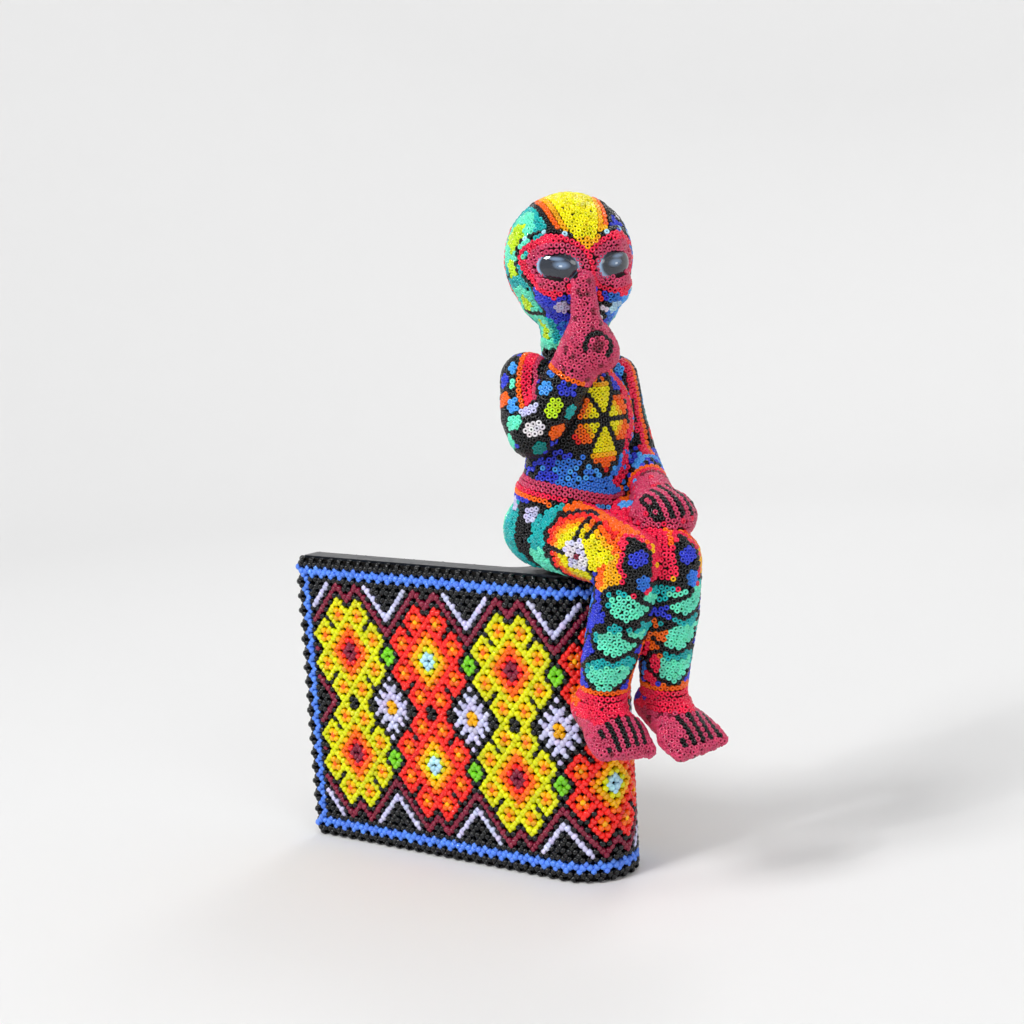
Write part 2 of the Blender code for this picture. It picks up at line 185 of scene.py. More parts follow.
def wood_material(name, low, high):
    """Bare wood with its grain running up."""
    made, tree, shader = new_material(name, low, 0.6)
    grain = noise(tree, 60, 6, (6, 6, 0.6))
    tree.links.new(ramp(tree, grain, low, high), shader.inputs["Base Color"])
    vary_roughness(tree, shader, grain, 0.5, 0.75)
    bump(tree, shader, grain, 0.3, 0.2 * MM)
    return made


def coated_material(name, low, high, roughness, scale, depth, **values):
    """A surface whose colour, gloss and relief all follow one noise."""
    made, tree, shader = new_material(name, low, roughness[1], **values)
    source = noise(tree, scale, 4)
    tree.links.new(ramp(tree, source, low, high), shader.inputs["Base Color"])
    vary_roughness(tree, shader, source, *roughness)
    bump(tree, shader, source, 0.6, depth)
    return made


GLASS = dict(Specular_IOR_Level=0.0, Coat_Weight=0.85, Coat_Roughness=0.06, Coat_IOR=1.5)
PAINT_FILM = dict(Coat_Weight=0.6, Coat_Roughness=0.03)
BEAD = painted_material("seed_bead", "bead_colour", 0.12, 0.22, 0.12, **GLASS)
# The eyes' colour holds their paint and a painted highlight, a near-white spot that stands for
# reflected light.
EYE = painted_material("eye_paint", "eye_colour", 0.05, 0.12, 0.1, **PAINT_FILM)
WAX = coated_material(
    "wax", (0.002,) * 3, (0.008, 0.006, 0.005), (0.5, 0.7), 700, 0.2 * MM, Specular_IOR_Level=0.15
)
LACQUER = coated_material(
    "lacquer", (0.003, 0.004, 0.007), (0.01, 0.014, 0.022), (0.22, 0.38), 160, 0.5 * MM,
    Specular_IOR_Level=0.3,
)
FELT = coated_material(
    "felt", (0.01, 0.01, 0.012), (0.035, 0.034, 0.036), (0.85, 1.0), 2500, 0.2 * MM
)
WOOD = wood_material("carved_wood", (0.30, 0.17, 0.08), (0.50, 0.32, 0.17))
PEG = wood_material("peg_wood", (0.50, 0.34, 0.18), (0.66, 0.49, 0.29))

# ---------------------------------------------------------------- pieces


def new_object(name, vertices, faces, material, attribute=None, colours=None, smooth=True):
    """An object with faces of one number of sides, and its points' colours in the attribute."""
    mesh = bpy.data.meshes.new(name)
    sides = faces.shape[1]
    mesh.vertices.add(len(vertices))
    mesh.vertices.foreach_set("co", np.asarray(vertices, np.float32).ravel())
    mesh.loops.add(faces.size)
    mesh.loops.foreach_set("vertex_index", faces.astype(np.int32).ravel())
    mesh.polygons.add(len(faces))
    mesh.polygons.foreach_set("loop_start", np.arange(0, faces.size, sides, dtype=np.int32))
    mesh.update(calc_edges=True)
    mesh.validate()
    if smooth:
        mesh.shade_smooth()
    if attribute:
        layer = mesh.attributes.new(attribute, "FLOAT_COLOR", "POINT")
        full = np.ones((len(vertices), 4), np.float32)
        full[:, :3] = colours
        layer.data.foreach_set("color", full.ravel())
    mesh.materials.append(material)
    obj = bpy.data.objects.new(name, mesh)
    bpy.context.scene.collection.objects.link(obj)
    return obj


def finish_piece(obj, slot, *replaced):
    """Fixes a piece to the object's one body, in place of the CAD nodes named."""
    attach(obj, "root")
    if replaced:
        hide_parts(*replaced)


def quads(rows, columns, wrap_rows, wrap_columns):
    """Faces over a grid of points listed row after row, closed on itself where it wraps."""
    i, j = np.indices((rows - (not wrap_rows), columns - (not wrap_columns)))
    after, above = (i + 1) % rows, (j + 1) % columns
    corners = i * columns + j, i * columns + above, after * columns + above, after * columns + j
    return np.stack(corners, -1).reshape(-1, 4)


def bead_shape(radius, hole, length, sides, steps):
    """A rounded bead about Z: points, faces, and the faces' corners spread flat from 0 to 1."""
    middle, reach = (radius + hole) / 2, (radius - hole) / 2
    turns = np.arange(steps) * FULL_TURN / steps
    across = middle + reach * np.sign(np.cos(turns)) * np.abs(np.cos(turns)) ** 0.8
    along = length / 2 * np.sign(np.sin(turns)) * np.abs(np.sin(turns)) ** 0.8
    around = np.arange(sides) * FULL_TURN / sides
    ring = [np.outer(np.cos(around), across), np.outer(np.sin(around), across)]
    points = np.stack([*ring, np.tile(along, (sides, 1))], -1).reshape(-1, 3)
    faces = quads(sides, steps, True, True)[:, [0, 3, 2, 1]]
    ahead = np.array([(0, 0), (1, 0), (1, 1), (0, 1)])
    places = np.indices((sides, steps)).transpose(1, 2, 0).reshape(-1, 1, 2)
    return points, faces, (places + ahead) / (sides, steps)


def turned(axes):
    """Rotation matrices that take Z to each axis, each with a random spin."""
    axes = axes / np.linalg.norm(axes, axis=1, keepdims=True)
    spin = rng.normal(size=axes.shape)
    first = np.cross(axes, spin)
    first /= np.linalg.norm(first, axis=1, keepdims=True)
    return np.stack([first, np.cross(axes, first), axes], -1)


def bead_piece(name, shape, centres, axes, colours):
    """One object of many beads, each a little different in size, tilt and shade."""
    points, faces, spread = shape
    count = len(centres)
    axes = axes + rng.normal(scale=0.07, size=axes.shape)
    sizes = rng.normal(1, 0.03, (count, 1, 1)).clip(0.93, 1.05)
    lengths = rng.normal(1, 0.07, (count, 1, 1)).clip(0.8, 1.15)
    sizes = sizes * np.concatenate([np.ones((count, 1, 2)), lengths], 2)
    spots = np.einsum("nij,nkj->nki", turned(axes), points[None] * sizes) + centres[:, None]
    tints = np.array([LINEAR[colour] for colour in colours])
    tints = tints * rng.normal(1, 0.09, (count, 1)) * rng.normal(1, 0.03, (count, 3))
    tints = np.repeat(tints.clip(0, 1), len(points), 0)
    every = (faces[None] + (np.arange(count) * len(points))[:, None, None]).reshape(-1, 4)
    obj = new_object(name, spots.reshape(-1, 3), every, BEAD, "bead_colour", tints)
    cells = math.ceil(math.sqrt(count))
    corner = np.stack([np.arange(count) % cells, np.arange(count) // cells], -1)[:, None, None, :]
    places = ((corner + 0.12 + 0.76 * spread[None]) / cells).astype(np.float32).ravel()
    obj.data.uv_layers.new(name="OFBake").data.foreach_set("uv", places)
    return obj


# ---------------------------------------------------------------- the net round the stand


def stand_path(inset):
    """The plan of the stand, moved in by inset, from the front's left corner rightwards round."""
    left, front = -FRONT_LENGTH + inset, -END_RADIUS + inset
    back = -END_RADIUS + BOARD_THICKNESS - inset
    fillet = FILLET_RADIUS + inset
    rise = back + fillet
    run = math.sqrt((END_RADIUS - inset + fillet) ** 2 - rise**2)
    meets = math.atan2(rise, -run)
    points = [(left, front)]
    for angle in np.linspace(-math.pi / 2, meets, 60):
        radius = END_RADIUS - inset
        points.append((radius * math.cos(angle), radius * math.sin(angle)))
    for angle in np.linspace(meets - math.pi, -math.pi / 2, 14)[1:]:
        points.append((-run + fillet * math.cos(angle), rise + fillet * math.sin(angle)))
    return np.array([*points, (left, back), (left, front)])


def ring_distance(across, down):
    """How many rings out from a motif's middle a place in the net is."""
    return abs(across) + abs(down)


def chart(a, b, last):
    """The colour of the net's bead at column a and row b, on a net that ends at column last."""
    from_edge = min(a - FIRST_COLUMN, last - a)
    if from_edge < 0 or b <= -11.5 or b >= 25.5:
        return "black"
    if b <= -10 or b >= 24:
        return "cornflower"
    if from_edge < 0.8:
        return "black"
    if from_edge < 2.3:
        return "cornflower"
    if b <= -9.5 or b >= 23.5 or from_edge < 2.8:
        return "black"
    reached = int(last) + MOTIF_WIDTH // 2
    flowers = [(column, row) for column in range(0, reached, MOTIF_WIDTH) for row in (0, 14)]
    petal, column, row = min(
        (
            (min(ring_distance(a - column - x, b - row - y) for x, y in PETALS), column, row)
            for column, row in flowers
        ),
        key=lambda found: found[0],
    )
    reach = ring_distance(a - column, b - row)
    if column % (2 * MOTIF_WIDTH):
        outer, inner, rings = "red", ("golden", "orange"), ("pale", "citron", "golden", "orange")
    else:
        outer, inner, rings = "citron", ("orange", "golden"), ("wine", "red", "orange", "golden")
    if reach <= 4:
        return rings[max(0, math.ceil(reach) - 1)]
    if petal <= 2:
        return (*inner, outer)[math.floor(petal)]
    if reach <= 5:
        return outer
    for middle in range(MOTIF_WIDTH // 2, reached, MOTIF_WIDTH):
        if min(ring_distance(a - middle, b - row) for row in (0, 14)) <= 1:
            return "green"
        x, y = abs(a - middle), abs(b - 7)
        if x + y <= 1:
            return "golden"
        if x + y <= 3 or x + y == 4 and x < 4 and x == int(x):
            return "lavender"
    past_rows = b < 0 or b > 14
    if (past_rows or a < 0 or a > last - 4) and petal in (3.5, 4, 4.5):
        return "wine"
    if 5.9 <= petal <= 6.6 and past_rows and abs(a - column) > 3.5:
        return "lavender"
    return "black"


def build_net():
    """A bead at each corner and on each side of the net's slanted meshes, half a unit apart."""
    path = stand_path(NET_INSET)
    steps = np.linalg.norm(np.diff(path, axis=0), axis=1)
    along = np.concatenate([[0], np.cumsum(steps)])
    columns = 2 * round(along[-1] / COLUMN / 2)
    column = along[-1] / columns
    last = (along[-2] - NET_INSET) / column + FIRST_COLUMN
    drop = (BOTTOM_ROW - TOP_ROW) / (ROWS[1] - ROWS[0]) / column
    groups = {}
    for half_a in range(2 * columns):
        for half_b in range(2 * ROWS[0], 2 * ROWS[1] + 1):
            node = half_a % 2 == 0
            if (half_a + half_b) % 2 or node and (half_a // 2 + half_b // 2) % 2 == 0:
                continue
            a, b = half_a / 2, half_b / 2
            share = (b - ROWS[0]) / (ROWS[1] - ROWS[0])
            s = a * column
            k = min(np.searchsorted(along, s, "right") - 1, len(steps) - 1)
            heading = (path[k + 1] - path[k]) / steps[k]
            spot = path[k] + heading * (s - along[k])
            height = TOP_ROW + share * (BOTTOM_ROW - TOP_ROW)
            height *= 1 - STAND_RISE * spot[0] / (100 * MM)
            spot = spot + np.array([heading[1], -heading[0]]) * rng.normal(0, 0.05 * MM)
            slope = 0.0 if node else drop if (a + b - 1) % 2 else -drop
            panel = f"panel_{half_a * 6 // (2 * columns)}"
            where = "top_rim" if b <= -11.5 else "bottom_rim" if b >= 25.5 else panel
            bead = ((*spot, height), (*heading, slope), chart(a + FIRST_COLUMN, b, last))
            groups.setdefault(where, []).append(bead)
    shape = bead_shape(NET_RADIUS, NET_HOLE, NET_LENGTH, 10, 6)
    for where, beads in groups.items():
        centres, axes, colours = (list(column) for column in zip(*beads))
        centres = np.array(centres)
        centres += rng.normal(0, 0.05 * MM, centres.shape)
        obj = bead_piece(f"net_{where}", shape, centres, np.array(axes), colours)
        if "rim" in where:
            finish_piece(obj, "rim", f"bead_net_{where}")
        else:
            finish_piece(obj, "net", "bead_net_panel")


def build_backing():
    """The dark waxed face that the net lies on."""
    rings = [stand_path(inset)[:-1] for inset in (1.5 * MM, 2.4 * MM)]
    points = [
        (x, y, height * (1 - STAND_RISE * x / (100 * MM)))
        for ring in rings
        for height in (0.6 * MM, 99.2 * MM)
        for x, y in ring
    ]
    count = len(rings[0])
    faces = []
    for i in range(count):
        j = (i + 1) % count
        for near, far, a, b in ((0, 1, i, j), (2, 3, j, i), (1, 3, i, j), (0, 2, j, i)):
            near, far = near * count, far * count
            faces.append((near + a, near + b, far + b, far + a))
    obj = new_object("net_backing_wax", np.array(points), np.array(faces), WAX, smooth=False)
    finish_piece(obj, "lacquer")


# ---------------------------------------------------------------- the figure's surface


def to_world(point):
    """A figure point in the world."""
    spot = Vector(point) * MM
    spot.rotate(Euler((0, 0, FIGURE_YAW)))
    return SEAT + spot


def to_figure(point):
    """A world point as a figure point."""
    spot = (Vector(point) - SEAT) / MM
    spot.rotate(Euler((0, 0, -FIGURE_YAW)))
    return spot


REGIONS = [name for name in sorted(cad) if name.endswith("_beads")]
INSIDES = [name for name in sorted(cad) if name.endswith(("_core", "_eye"))]
INSIDES.remove("stand_core")


def swollen_copy(name, distance):
    """A CAD node's mesh with its skin moved outwards."""
    mesh = bmesh.new()
    mesh.from_mesh(cad[name].data)
    mesh.normal_update()
    for vert in mesh.verts:
        vert.co += vert.normal * distance
    return mesh


def fused_figure():
    """One smooth closed surface round all the figure's beaded skins."""
    whole = bpy.data.meshes.new("figure")
    joined = bmesh.new()
    for name in REGIONS + INSIDES:
        part = swollen_copy(name, 0.25 * MM)
        part.to_mesh(whole)
        part.free()
        joined.from_mesh(whole)
    joined.to_mesh(whole)
    joined.free()
    obj = bpy.data.objects.new("figure_wax", whole)
    bpy.context.scene.collection.objects.link(obj)
    remesh = obj.modifiers.new("fuse", "REMESH")
    remesh.mode = "VOXEL"
    remesh.voxel_size = 0.65 * MM
    smooth = obj.modifiers.new("smooth", "SMOOTH")
    smooth.iterations = 9
    graph = bpy.context.evaluated_depsgraph_get()
    settled = bpy.data.meshes.new_from_object(obj.evaluated_get(graph), depsgraph=graph)
    obj.modifiers.clear()
    obj.data = settled
    largest_only(obj)
    return obj


def largest_only(obj):
    """Removes every loose island but the one with the most points."""
    mesh = bmesh.new()
    mesh.from_mesh(obj.data)
    left = set(mesh.verts)
    islands = []
    while left:
        stack = [left.pop()]
        island = list(stack)
        while stack:
            beside = {vert for edge in stack.pop().link_edges for vert in edge.verts} & left
            left -= beside
            island.extend(beside)
            stack.extend(beside)
        islands.append(island)
    islands.sort(key=len)
    loose = [vert for island in islands[:-1] for vert in island]
    bmesh.ops.delete(mesh, geom=loose, context="VERTS")
    mesh.to_mesh(obj.data)
    mesh.free()


class Skin:
    """The figure's surface, for finding the nearest point on it and the way out."""

    def __init__(self, mesh):
        self.points = [vert.co.copy() for vert in mesh.vertices]
        self.normals = [vert.normal.copy() for vert in mesh.vertices]
        self.faces = [tuple(face.vertices) for face in mesh.polygons]
        self.areas = np.array([face.area for face in mesh.polygons])
        self.tree = BVHTree.FromPolygons(self.points, self.faces)

    def snap(self, point):
        """The nearest point of the skin and its smooth normal."""
        spot, _, index, _ = self.tree.find_nearest(point)
        normal = Vector()
        for corner in self.faces[index]:
            normal += self.normals[corner]
        return spot, normal.normalized()

    def random_points(self, count):
        """Points spread evenly over the skin's area."""
        picks = rng.choice(len(self.faces), count, p=self.areas / self.areas.sum())
        shares = rng.random((count, 4)) + 0.02
        shares /= shares.sum(1, keepdims=True)
        for pick, share in zip(picks, shares):
            corners = self.faces[pick]
            used = share[: len(corners)]
            spot = Vector()
            for corner, part in zip(corners, used / used.sum()):
                spot += self.points[corner] * part
            yield spot


wax = fused_figure()
skin = Skin(wax.data)
trees = {
    name: BVHTree.FromPolygons(
        [vert.co.copy() for vert in cad[name].data.vertices],
        [tuple(face.vertices) for face in cad[name].data.polygons],
    )
    for name in REGIONS
}
pinned = []  # (place, normal, colour) of the beads laid in rows and flowers
within = []  # words, one of which the region of a bead has to have in its name


def region_of(spot):
    """The CAD node whose surface is nearest."""
    return min(REGIONS, key=lambda name: trees[name].find_nearest(spot)[3])


def pin(spot, colour):
    """Adds a bead at a fixed place, unless one is there or its region isn't in within."""
    at, normal = skin.snap(spot)
    if any((other - at).length < 0.8 * PITCH for other, _, _ in pinned):
        return
    if within and not any(word in region_of(at) for word in within):
        return
    pinned.append((at, normal, colour))


def smooth_line(points, closed):
    """Dense points along a Catmull-Rom curve."""
    count = len(points)
    line = []
    for k in range(count if closed else count - 1):
        near = [k + shift for shift in (-1, 0, 1, 2)]
        p = [points[n % count if closed else min(max(n, 0), count - 1)] for n in near]
        slope = p[2] - p[0]
        curve = 2 * p[0] - 5 * p[1] + 4 * p[2] - p[3]
        twist = 3 * p[1] - p[0] - 3 * p[2] + p[3]
        for t in np.linspace(0, 1, 16, endpoint=False):
            line.append(0.5 * (2 * p[1] + slope * t + curve * t**2 + twist * t**3))
    line.append(points[0] if closed else points[-1])
    return line


def lay_row(points, colours, closed=False):
    """A row of beads on the skin through world points. colours is one name or a list to repeat."""
    line = [skin.snap(point)[0] for point in smooth_line(points, closed)]
    steps = [(b - a).length for a, b in zip(line, line[1:])]
    along = np.concatenate([[0], np.cumsum(steps)])
    count = max(1, round(along[-1] / PITCH))
    stations = np.arange(count if closed else count + 1) * along[-1] / count
    names = [colours] if isinstance(colours, str) else colours
    for number, station in enumerate(stations):
        k = min(np.searchsorted(along, station, "right") - 1, len(line) - 2)
        share = (station - along[k]) / max(along[k + 1] - along[k], 1e-9)
        pin(line[k].lerp(line[k + 1], share), names[number % len(names)])


def lay_rows(place, lines, colours, closed=False):
    """Rows through place(*point) for the points of each line."""
    for line in lines:
        lay_row([place(*point) for point in line], colours, closed)


def row(points, colours):
    """A row of beads through figure points."""
    lay_row([to_world(point) for point in points], colours)


def band(centre, axis, names):
    """Rows of beads right round a limb, one for each colour, each further along axis."""
    way = (to_world(axis) - SEAT).normalized()
    across = way.orthogonal().normalized()
    for number, name in enumerate(names):
        middle = to_world(centre) + way * PITCH * 0.9 * number
        loop = []
        for angle in np.linspace(0, FULL_TURN, 24, endpoint=False):
            aim = across.copy()
            aim.rotate(Matrix.Rotation(angle, 3, way))
            hit = skin.tree.ray_cast(middle, aim, 14 * MM)[0]
            if hit:
                loop.append(hit)
        if len(loop) > 6:
            lay_row(loop, name, len(loop) > 20)


def tangent_frame(point):
    """The surface point nearest to a world point, and its sideways and upward directions."""
    at, normal = skin.snap(point)
    up = Vector((0, 0, 1))
    side = up.cross(normal)
    if side.length < 0.2:
        side = Vector((1, 0, 0)).cross(normal)
    side.normalize()
    return at, side, normal.cross(side).normalized()


def flower(point, colour, big=False):
    """A bead with six more round it, or a big one of rows of three, four and three."""
    at, side, up = tangent_frame(to_world(point))
    turn = rng.uniform(0, math.pi / 3)
    c, s = math.cos(turn), math.sin(turn)
    sixth = [k * math.pi / 3 for k in range(6)]
    spots = [(0.0, 0.0)] + [(math.cos(angle), math.sin(angle)) for angle in sixth]
    if big:
        spots = [(x, 0.0) for x in (-0.5, 0.5, -1.5, 1.5)]
        spots += [(x, y) for y in (0.87, -0.87) for x in (0.0, -1.0, 1.0)]
    for x, y in spots:
        pin(at + (side * (x * c - y * s) + up * (x * s + y * c)) * PITCH, colour)


def hex_patch(place, rings, colour_of):
    """Beads in rings of six round place(0, 0). place takes millimetres sideways and up."""
    step = PITCH / MM
    for ring in range(rings + 1):
        spots = [(0.0, 0.0)] if ring == 0 else []
        for k in range(6 if ring else 0):
            here, after = math.radians(60 * k), math.radians(60 * (k + 1))
            for j in range(ring):
                share = j / ring
                x = math.cos(here) * (1 - share) + math.cos(after) * share
                y = math.sin(here) * (1 - share) + math.sin(after) * share
                spots.append((x * ring * step, y * ring * step))
        for number, (x, y) in enumerate(spots):
            colour = colour_of(ring, number)
            if colour:
                pin(place(x, y), colour)


# ---------------------------------------------------------------- the head


def head_to_world(spot):
    """A point in mm forward, left and up from the head's middle, in the world."""
    spot = Vector(spot)
    spot.rotate(Euler((0, 0, HEAD_YAW)))
    return to_world(spot + Vector(HEAD_CENTRE))


def head_at(across, up):
    """The head's skin across degrees towards the figure's left and up degrees above level."""
    across, up = math.radians(across), math.radians(up)
    level = math.cos(up)
    aim = Vector((level * math.cos(across), level * math.sin(across), math.sin(up)))
    return head_to_world(aim * 20.6)


def crown_at(side, over):
    """The head's skin side degrees left of the middle line, over degrees round from the front."""
    side, over = math.radians(side), math.radians(over)
    level = math.cos(side)
    aim = Vector((level * math.cos(over), math.sin(side), level * math.sin(over)))
    return head_to_world(aim * 20.6)


def head_angles(point):
    """(across, up, side, over) in degrees of a figure point on the head."""
    spot = point - Vector(HEAD_CENTRE)
    spot.rotate(Euler((0, 0, -HEAD_YAW)))
    far = spot.length
    across = math.degrees(math.atan2(spot.y, spot.x))
    up = math.degrees(math.asin(spot.z / far))
    side = math.degrees(math.asin(spot.y / far))
    over = math.degrees(math.atan2(spot.z, spot.x))
    return across, up, side, over if over > -90 else over + 360


def beside_eye(side, x, y):
    """World point x mm outwards from the eye's middle and y mm up, over the curve of the head."""
    c, s = math.cos(EYE_TILT), math.sin(EYE_TILT)
    across = EYE_YAW + math.degrees((x * c - y * s) / HEAD_RADIUS)
    return head_at(side * across, EYE_DROP + math.degrees((x * s + y * c) / HEAD_RADIUS))


def from_eye(side, across, up):
    """(mm outwards, mm up) from that side's eye of a place on the head: beside_eye turned round."""
    c, s = math.cos(EYE_TILT), math.sin(EYE_TILT)
    x = math.radians(side * across - EYE_YAW) * HEAD_RADIUS
    y = math.radians(up - EYE_DROP) * HEAD_RADIUS
    return x * c + y * s, y * c - x * s


def round_eye(side, out, stretch=0.0):
    """A closed almond line out mm outside the eye, stretched at its outer end."""
    line = []
    for angle in np.linspace(0, FULL_TURN, 28, endpoint=False):
        c, s = math.cos(angle), math.sin(angle)
        x = (EYE_HALF[0] + out) * math.copysign(abs(c) ** 0.9, c)
        y = (EYE_HALF[1] + out) * math.copysign(abs(s) ** 1.1, s)
        if c > 0:
            x += stretch * c**2
            y += 0.35 * stretch * c**2
        line.append(beside_eye(side, x, y))
    return line


def stripe_half(over):
    """Half the width in degrees of the yellow stripe from between the brows over the crown."""
    if over < 2:
        return 0
    half = 25 * (1 - math.exp(-over / 18))
    return half * min(1, max(0, (150 - over) / 22)) ** 0.5


def mask_level(across, up):
    """(mm outside the nearer eye's almond, mm outwards from its middle, mm up) of a place."""
    x, y = from_eye(-1 if across < 1 else 1, across, up)
    reach = math.hypot(x / EYE_HALF[0], y / EYE_HALF[1])
    return math.hypot(x, y) * (1 - 1 / max(reach, 0.01)), x, y


def head_sun(ring, number):
    """The sun on the back of the head."""
    place = number % ring if ring else 0
    if place == 0 or ring == 7 and place not in (3, 4) or ring == 6 and place in (1, 5):
        return "black"
    if ring == 8:
        return "black" if place in (3, 4, 5) else None
    return (None, "lemon", "lemon", "lemon", "golden", "orange", "red", "crimson")[ring]


def lay_head():
    brow = ((-3, 9.5), (1, 9.9), (6, 9.8), (11, 8.4), (15, 6.4))
    cheek = ((16.4, 4), (15, -1), (11.5, -5.5), (6, -9.0))
    for side in (-1, 1):
        for out, stretch, name in ((0.95, 0, "rose"), (2.65, 1.5, "rose"), (4.3, 4.0, "crimson")):
            lay_row(round_eye(side, out, stretch), name, True)
        lay_row([beside_eye(side, x, y) for x, y in brow], ["black", "pale", "black", "black"])
        lay_row([beside_eye(side, x, y) for x, y in cheek], "black")
    for layer, name in ((5.2, "black"), (0, "orange"), (-5.1, "golden"), (-10.2, "lemon")):
        for side in (-1, 1):
            line = []
            for over in range(4, 151, 6):
                half = stripe_half(over) + layer + (4 if side < 0 and over < 90 else 0)
                if half > 2 or layer > 0:
                    line.append(crown_at(side * max(half, 0), over))
            if len(line) > 2:
                lay_row(line, name)
    for spot, colour in (((-29, -37), "lavender"), ((30, -40), "pale")):
        flower(to_figure(head_at(*spot)), colour)
    for across, up in ((9, -33), (14, -33), (12, -38)):
        pin(head_at(across, up), "red")
    for across, up in ((-30, 20), (-35, 19), (-25, 22), (-20, 21)):
        pin(head_at(across, up), "royal")
    outlines = (
        ((-52, -26), (-50, -34), (-48, -44), (-52, -52)),
        ((-52, -52), (-62, -50), (-76, -50), (-90, -46)),
        ((-58, 13), (-66, 8), (-72, 0), (-72, -8)),
    )
    edge = ((102, 30), (104, 14), (105, 0), (103, -20), (99, -40))
    for side in (-1, 1):
        lay_rows(lambda across, up: head_at(-side * across, up), outlines, "black")
        lay_rows(lambda across, up: head_at(side * across, up), [edge], "crimson")
        lay_rows(lambda across, up: head_at(side * (across + 5.3), up), [edge], "orange")
    hex_patch(lambda x, y: head_at(180 - x * 2.8, -8 + y * 2.8), 8, head_sun)


def speckle(point, base, spot, share):
    """base, with spot at that share of the beads, the same bead always alike."""
    seed = math.sin(point.x * 91.7 + point.y * 47.3 + point.z * 73.1) * 43758.5453
    return spot if seed - math.floor(seed) < share else base


def paint_head(point):
    across, up, side, over = head_angles(point)
    out, x, y = mask_level(across, up)
    if abs(across) < 66 and (out < 3.2 or math.hypot(x, y) < 3):
        return "rose"
    if abs(across) < 70 and out < 4.6 + 0.3 * max(0, x - 7):
        return "crimson"
    half = stripe_half(over)
    if over > 0 and -half - 4 < side < half:
        inside = half - abs(side + 2)
        return "lemon" if inside > 11 and over > 16 else "golden"
    if abs(across) > 108 and not -120 < across < 0 or abs(across) > 112:
        if up < -50:
            return "turquoise"
        if up > 38:
            return "black" if abs(side) < 34 else "royal"
        return "royal" if abs(abs(across) - 120) < 8 else speckle(point, "black", "sky", 0.08)
    if up < -52 and abs(across) > 40:
        spot = math.hypot(abs(across) - 72, up + 66)
        return "lime" if spot < 9 else "mint" if spot < 20 else "turquoise"
    if across < 0:
        if abs(across) < 52 and up < -20:
            return "royal" if up > -50 else speckle(point, "royal", "mid", 0.5)
        if up < -14 and across < -52:
            low = math.hypot((across + 80) * 0.8, up + 40)
            return "lime" if low < 8 else "mint" if low < 18 else "turquoise"
        if over > 8:
            blob = math.hypot(side + 65, (over - 61) * math.cos(math.radians(side)))
            if blob < 13:
                return "lime"
            if blob < 25:
                return "mint"
            if over > 104:
                return "black" if blob > 40 else "turquoise"
            return "turquoise" if side < -half - 9 and over > 34 or blob < 42 else "black"
        if abs(across + 81) < 9 and abs(up + 8) < 9:
            return "lime"
        return "mint" if up > -2 else "turquoise"
    if up < -24 and across < 66:
        if 5 < across < 22 and up < -36:
            return speckle(point, "black", "white", 0.3)
        shade = across + 0.5 * (up + 24)
        return "royal" if shade < 12 else "mid" if shade < 26 else "sky" if shade < 40 else "pale"
    if up < -14:
        return "sky" if across < 84 else "turquoise"
    if math.hypot(side - 31, over - 34) < 12:
        return "royal"
    if over < 100:
        return "mid" if side > 56 else speckle(point, "black", "white", 0.2)
    return speckle(point, "black", "mid", 0.2)


# ---------------------------------------------------------------- torso


def torso_at(across, up):
    """The skin across degrees left of straight ahead from the torso's axis, up mm high."""
    angle = math.radians(across)
    start = to_world((1, 3, up))
    end = to_world((1 + math.cos(angle), 3 + math.sin(angle), up))
    return skin.tree.ray_cast(start, (end - start).normalized(), 60 * MM)[0] or start


def torso_patch(across, up, rings, colour_of):
    """A patch of rings about a place on the torso, whose skin is taken as 13 mm from its axis."""
    hex_patch(lambda x, y: torso_at(across + math.degrees(x / 13.0), up + y), rings, colour_of)


def chest(ring, number):
    """The wheel on the chest: six wedges, of which the upright ones are longer."""
    wedge, place = divmod(number, ring) if ring else (0, 0)
    from_middle = abs(place - ring / 2)
    upright = wedge in (1, 4)
    last = 10 if upright else 7
    if ring == 0 or ring <= last and place == 0:
        return "black"
    room = ring / 2 - 0.9 if ring < last - 3 else (last - ring) * (0.75 if upright else 0.6) + 0.6
    if ring > last or from_middle > room:
        return "black" if from_middle < room + 1.2 and ring <= last + 1 else None
    if ring <= last - 4:
        return "lemon"
    return ("golden", "orange", "orange", "red")[ring - last + 3]


def back_sun(ring, number):
    """The small sun on the back."""
    if ring == 0 or number % ring == 0 or ring == 6:
        return "black"
    return (None, "white", "red", "orange", "golden", "lemon")[ring]


def lay_torso():
    edge = [(34, 69), (44, 65), (50, 60), (52, 52), (51, 44), (46, 37), (36, 31.5), (20, 28)]
    for number, name in enumerate(("crimson", "crimson", "orange")):
        lower = [up - (1.2 * number if up < 38 else 0) for _, up in edge]
        lay_row([torso_at(a + 7.4 * number, up) for (a, _), up in zip(edge, lower)], name)
    torso_patch(4, 48, 11, chest)
    waist = [(-175, 32), (-130, 32), (-87, 30.6), (-40, 26.5), (7, 23.6)]
    waist += [(30, 24), (60, 26), (100, 29), (140, 31)]
    for number, name in enumerate(("rose", "rose", "crimson", "orange")):
        lay_rows(torso_at, [[(across, up - number * 1.62) for across, up in waist]], name, True)
    for spot, colour in (((10, 13.5, 63.5), "sky"), ((6.5, 12, 68), "mid"), ((7, 17, 62), "royal")):
        flower(spot, colour)
    flower((4.1, -18.2, 19.9), "lavender", True)
    flower((-4.5, -17.5, 23.0), "lavender")
    torso_patch(184, 48, 6, back_sun)
    for across in (-150, 160):
        for up in (62, 37):
            torso_patch(across, up, 1, lambda ring, number: ("pale", "mid")[ring])


